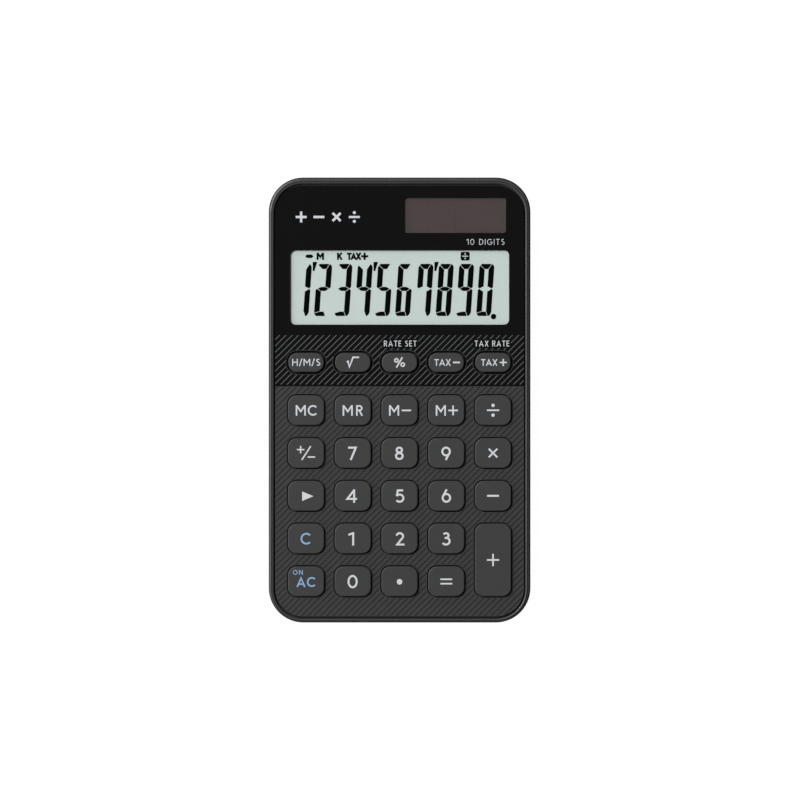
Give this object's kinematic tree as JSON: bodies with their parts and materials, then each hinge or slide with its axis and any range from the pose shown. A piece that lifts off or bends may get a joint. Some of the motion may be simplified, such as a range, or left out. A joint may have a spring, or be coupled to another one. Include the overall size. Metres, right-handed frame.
{
  "type": "pocket calculator",
  "caption": "Slim upright pocket calculator: case with a round rim, inset gloss display panel and grooved keypad plate, solar window and separate sliding keys over a rubber dome sheet.",
  "frame": {"origin": "centre of the flat back of the case", "axes": "+X to the right seen from the front, +Y from the keypad towards the display, +Z out of the keys"},
  "size_m": [0.0698, 0.1186, 0.008],
  "materials": {
    "case_plastic": "satin",
    "key_plastic": "satin",
    "gloss_panel": "gloss",
    "textured_plate": "satin",
    "adhesive_film": "matt",
    "clear_pane": "clear",
    "display_glass": "clear",
    "polarizer": "satin",
    "reflector": "satin",
    "holder_plastic": "matt",
    "conductive_rubber": "matt",
    "dome_rubber": "matt",
    "solar_glass": "satin",
    "foam": "matt",
    "wire_red": "satin",
    "wire_black": "satin",
    "board": "satin",
    "epoxy": "gloss",
    "ceramic": "satin",
    "cell_steel": "satin",
    "contact_metal": "satin",
    "screw_steel": "satin"
  },
  "bodies": {
    "case": {"battery_negative_contact": "contact_metal", "battery_positive_contact": "contact_metal", "blocking_diode": "ceramic", "board_screws": "screw_steel", "button_cell": "cell_steel", "case_screws": "screw_steel", "chip_capacitors": "ceramic", "chip_resistors": "ceramic", "display_panel": "gloss_panel", "display_panel_adhesive": "adhesive_film", "front_case": "case_plastic", "keypad_plate": "textured_plate", "keypad_plate_adhesive": "adhesive_film", "lcd_contact_strip": "conductive_rubber", "lcd_front_glass": "display_glass", "lcd_front_polarizer": "polarizer", "lcd_holder": "holder_plastic", "lcd_rear_glass": "display_glass", "lcd_rear_polarizer": "reflector", "lcd_window": "clear_pane", "main_board": "board", "processor_blob": "epoxy", "rear_case": "case_plastic", "rubber_dome_sheet": "dome_rubber", "solar_cell": "solar_glass", "solar_cell_pad": "foam", "solar_window": "clear_pane", "solar_wire_black": "wire_black", "solar_wire_red": "wire_red"},
    "key_0_body": {"key_0": "key_plastic"},
    "key_1_body": {"key_1": "key_plastic"},
    "key_2_body": {"key_2": "key_plastic"},
    "key_3_body": {"key_3": "key_plastic"},
    "key_4_body": {"key_4": "key_plastic"},
    "key_5_body": {"key_5": "key_plastic"},
    "key_6_body": {"key_6": "key_plastic"},
    "key_7_body": {"key_7": "key_plastic"},
    "key_8_body": {"key_8": "key_plastic"},
    "key_9_body": {"key_9": "key_plastic"},
    "key_all_clear_body": {"key_all_clear": "key_plastic"},
    "key_backspace_body": {"key_backspace": "key_plastic"},
    "key_clear_body": {"key_clear": "key_plastic"},
    "key_decimal_point_body": {"key_decimal_point": "key_plastic"},
    "key_divide_body": {"key_divide": "key_plastic"},
    "key_equals_body": {"key_equals": "key_plastic"},
    "key_hms_body": {"key_hms": "key_plastic"},
    "key_m_minus_body": {"key_m_minus": "key_plastic"},
    "key_m_plus_body": {"key_m_plus": "key_plastic"},
    "key_mc_body": {"key_mc": "key_plastic"},
    "key_minus_body": {"key_minus": "key_plastic"},
    "key_mr_body": {"key_mr": "key_plastic"},
    "key_multiply_body": {"key_multiply": "key_plastic"},
    "key_percent_body": {"key_percent": "key_plastic"},
    "key_plus_body": {"key_plus": "key_plastic"},
    "key_sign_change_body": {"key_sign_change": "key_plastic"},
    "key_square_root_body": {"key_square_root": "key_plastic"},
    "key_tax_minus_body": {"key_tax_minus": "key_plastic"},
    "key_tax_plus_body": {"key_tax_plus": "key_plastic"}
  },
  "joints": [
    {"name": "key_0_press", "type": "slide", "parent": "case", "child": "key_0_body", "axis": [0, 0, -1], "range_m": [0, 0.0009], "stiffness_N_per_m": 120, "springref_m": -0.0003, "deforming": ["rubber_dome_sheet"]},
    {"name": "key_1_press", "type": "slide", "parent": "case", "child": "key_1_body", "axis": [0, 0, -1], "range_m": [0, 0.0009], "stiffness_N_per_m": 120, "springref_m": -0.0003, "deforming": ["rubber_dome_sheet"]},
    {"name": "key_2_press", "type": "slide", "parent": "case", "child": "key_2_body", "axis": [0, 0, -1], "range_m": [0, 0.0009], "stiffness_N_per_m": 120, "springref_m": -0.0003, "deforming": ["rubber_dome_sheet"]},
    {"name": "key_3_press", "type": "slide", "parent": "case", "child": "key_3_body", "axis": [0, 0, -1], "range_m": [0, 0.0009], "stiffness_N_per_m": 120, "springref_m": -0.0003, "deforming": ["rubber_dome_sheet"]},
    {"name": "key_4_press", "type": "slide", "parent": "case", "child": "key_4_body", "axis": [0, 0, -1], "range_m": [0, 0.0009], "stiffness_N_per_m": 120, "springref_m": -0.0003, "deforming": ["rubber_dome_sheet"]},
    {"name": "key_5_press", "type": "slide", "parent": "case", "child": "key_5_body", "axis": [0, 0, -1], "range_m": [0, 0.0009], "stiffness_N_per_m": 120, "springref_m": -0.0003, "deforming": ["rubber_dome_sheet"]},
    {"name": "key_6_press", "type": "slide", "parent": "case", "child": "key_6_body", "axis": [0, 0, -1], "range_m": [0, 0.0009], "stiffness_N_per_m": 120, "springref_m": -0.0003, "deforming": ["rubber_dome_sheet"]},
    {"name": "key_7_press", "type": "slide", "parent": "case", "child": "key_7_body", "axis": [0, 0, -1], "range_m": [0, 0.0009], "stiffness_N_per_m": 120, "springref_m": -0.0003, "deforming": ["rubber_dome_sheet"]},
    {"name": "key_8_press", "type": "slide", "parent": "case", "child": "key_8_body", "axis": [0, 0, -1], "range_m": [0, 0.0009], "stiffness_N_per_m": 120, "springref_m": -0.0003, "deforming": ["rubber_dome_sheet"]},
    {"name": "key_9_press", "type": "slide", "parent": "case", "child": "key_9_body", "axis": [0, 0, -1], "range_m": [0, 0.0009], "stiffness_N_per_m": 120, "springref_m": -0.0003, "deforming": ["rubber_dome_sheet"]},
    {"name": "key_all_clear_press", "type": "slide", "parent": "case", "child": "key_all_clear_body", "axis": [0, 0, -1], "range_m": [0, 0.0009], "stiffness_N_per_m": 120, "springref_m": -0.0003, "deforming": ["rubber_dome_sheet"]},
    {"name": "key_backspace_press", "type": "slide", "parent": "case", "child": "key_backspace_body", "axis": [0, 0, -1], "range_m": [0, 0.0009], "stiffness_N_per_m": 120, "springref_m": -0.0003, "deforming": ["rubber_dome_sheet"]},
    {"name": "key_clear_press", "type": "slide", "parent": "case", "child": "key_clear_body", "axis": [0, 0, -1], "range_m": [0, 0.0009], "stiffness_N_per_m": 120, "springref_m": -0.0003, "deforming": ["rubber_dome_sheet"]},
    {"name": "key_decimal_point_press", "type": "slide", "parent": "case", "child": "key_decimal_point_body", "axis": [0, 0, -1], "range_m": [0, 0.0009], "stiffness_N_per_m": 120, "springref_m": -0.0003, "deforming": ["rubber_dome_sheet"]},
    {"name": "key_divide_press", "type": "slide", "parent": "case", "child": "key_divide_body", "axis": [0, 0, -1], "range_m": [0, 0.0009], "stiffness_N_per_m": 120, "springref_m": -0.0003, "deforming": ["rubber_dome_sheet"]},
    {"name": "key_equals_press", "type": "slide", "parent": "case", "child": "key_equals_body", "axis": [0, 0, -1], "range_m": [0, 0.0009], "stiffness_N_per_m": 120, "springref_m": -0.0003, "deforming": ["rubber_dome_sheet"]},
    {"name": "key_hms_press", "type": "slide", "parent": "case", "child": "key_hms_body", "axis": [0, 0, -1], "range_m": [0, 0.0009], "stiffness_N_per_m": 120, "springref_m": -0.0003, "deforming": ["rubber_dome_sheet"]},
    {"name": "key_m_minus_press", "type": "slide", "parent": "case", "child": "key_m_minus_body", "axis": [0, 0, -1], "range_m": [0, 0.0009], "stiffness_N_per_m": 120, "springref_m": -0.0003, "deforming": ["rubber_dome_sheet"]},
    {"name": "key_m_plus_press", "type": "slide", "parent": "case", "child": "key_m_plus_body", "axis": [0, 0, -1], "range_m": [0, 0.0009], "stiffness_N_per_m": 120, "springref_m": -0.0003, "deforming": ["rubber_dome_sheet"]},
    {"name": "key_mc_press", "type": "slide", "parent": "case", "child": "key_mc_body", "axis": [0, 0, -1], "range_m": [0, 0.0009], "stiffness_N_per_m": 120, "springref_m": -0.0003, "deforming": ["rubber_dome_sheet"]},
    {"name": "key_minus_press", "type": "slide", "parent": "case", "child": "key_minus_body", "axis": [0, 0, -1], "range_m": [0, 0.0009], "stiffness_N_per_m": 120, "springref_m": -0.0003, "deforming": ["rubber_dome_sheet"]},
    {"name": "key_mr_press", "type": "slide", "parent": "case", "child": "key_mr_body", "axis": [0, 0, -1], "range_m": [0, 0.0009], "stiffness_N_per_m": 120, "springref_m": -0.0003, "deforming": ["rubber_dome_sheet"]},
    {"name": "key_multiply_press", "type": "slide", "parent": "case", "child": "key_multiply_body", "axis": [0, 0, -1], "range_m": [0, 0.0009], "stiffness_N_per_m": 120, "springref_m": -0.0003, "deforming": ["rubber_dome_sheet"]},
    {"name": "key_percent_press", "type": "slide", "parent": "case", "child": "key_percent_body", "axis": [0, 0, -1], "range_m": [0, 0.0009], "stiffness_N_per_m": 120, "springref_m": -0.0003, "deforming": ["rubber_dome_sheet"]},
    {"name": "key_plus_press", "type": "slide", "parent": "case", "child": "key_plus_body", "axis": [0, 0, -1], "range_m": [0, 0.0009], "stiffness_N_per_m": 120, "springref_m": -0.0003, "deforming": ["rubber_dome_sheet"]},
    {"name": "key_sign_change_press", "type": "slide", "parent": "case", "child": "key_sign_change_body", "axis": [0, 0, -1], "range_m": [0, 0.0009], "stiffness_N_per_m": 120, "springref_m": -0.0003, "deforming": ["rubber_dome_sheet"]},
    {"name": "key_square_root_press", "type": "slide", "parent": "case", "child": "key_square_root_body", "axis": [0, 0, -1], "range_m": [0, 0.0009], "stiffness_N_per_m": 120, "springref_m": -0.0003, "deforming": ["rubber_dome_sheet"]},
    {"name": "key_tax_minus_press", "type": "slide", "parent": "case", "child": "key_tax_minus_body", "axis": [0, 0, -1], "range_m": [0, 0.0009], "stiffness_N_per_m": 120, "springref_m": -0.0003, "deforming": ["rubber_dome_sheet"]},
    {"name": "key_tax_plus_press", "type": "slide", "parent": "case", "child": "key_tax_plus_body", "axis": [0, 0, -1], "range_m": [0, 0.0009], "stiffness_N_per_m": 120, "springref_m": -0.0003, "deforming": ["rubber_dome_sheet"]}
  ]
}
